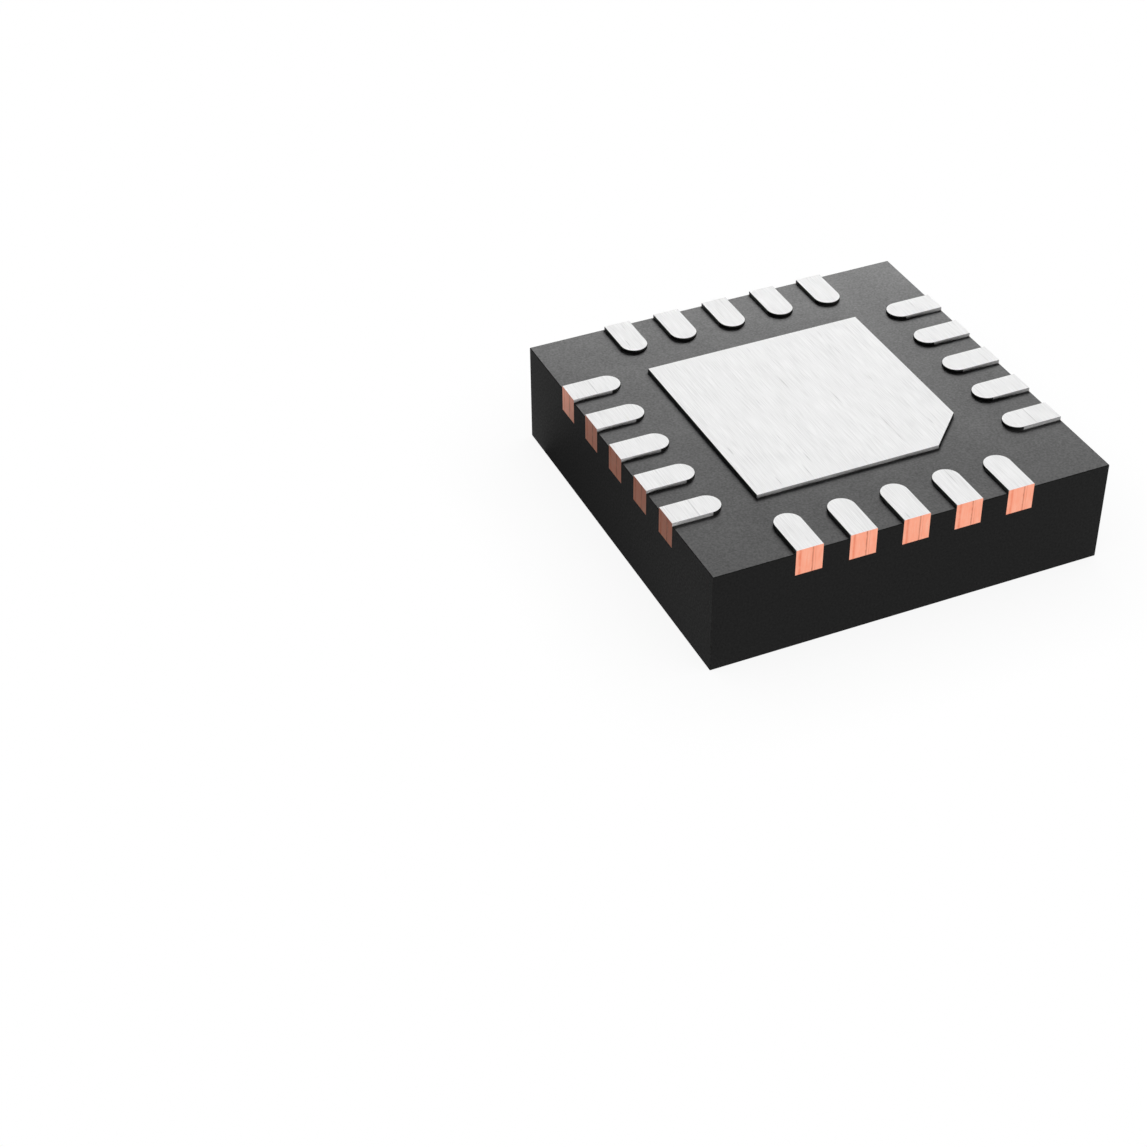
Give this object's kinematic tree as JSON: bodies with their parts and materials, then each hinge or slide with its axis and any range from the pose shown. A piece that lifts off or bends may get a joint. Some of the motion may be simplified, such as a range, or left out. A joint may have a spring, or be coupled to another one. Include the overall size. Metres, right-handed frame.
{
  "type": "leadless quad flat chip package",
  "caption": "Small square moulded chip without legs: rows of round-ended solder lands on all four sides round a square exposed pad with one cut corner, copper showing at the sawn ends.",
  "frame": {"origin": "centre of the marked face, which is the bottom of the box as the chip lies solder side up", "axes": "+Z out of the solder side, +X along the front side, with the pad's cut corner at +X and -Y"},
  "size_m": [0.003, 0.003, 0.0008],
  "materials": {
    "mold_compound": "matte",
    "copper": "sawn",
    "tin": "brushed",
    "silicon": "polished",
    "die_adhesive": "satin",
    "gold": "bright"
  },
  "bodies": {
    "root": {"mold_body": "mold_compound", "die_paddle": "copper", "land_finish": "tin", "paddle_finish": "tin", "die_attach": "die_adhesive", "silicon_die": "silicon", "lead_01": "copper", "lead_02": "copper", "lead_03": "copper", "lead_04": "copper", "lead_05": "copper", "lead_06": "copper", "lead_07": "copper", "lead_08": "copper", "lead_09": "copper", "lead_10": "copper", "lead_11": "copper", "lead_12": "copper", "lead_13": "copper", "lead_14": "copper", "lead_15": "copper", "lead_16": "copper", "lead_17": "copper", "lead_18": "copper", "lead_19": "copper", "lead_20": "copper", "bond_wire_01": "gold", "bond_wire_02": "gold", "bond_wire_03": "gold", "bond_wire_04": "gold", "bond_wire_05": "gold", "bond_wire_06": "gold", "bond_wire_07": "gold", "bond_wire_08": "gold", "bond_wire_09": "gold", "bond_wire_10": "gold", "bond_wire_11": "gold", "bond_wire_12": "gold", "bond_wire_13": "gold", "bond_wire_14": "gold", "bond_wire_15": "gold", "bond_wire_16": "gold", "bond_wire_17": "gold", "bond_wire_18": "gold", "bond_wire_19": "gold", "bond_wire_20": "gold"}
  },
  "joints": []
}
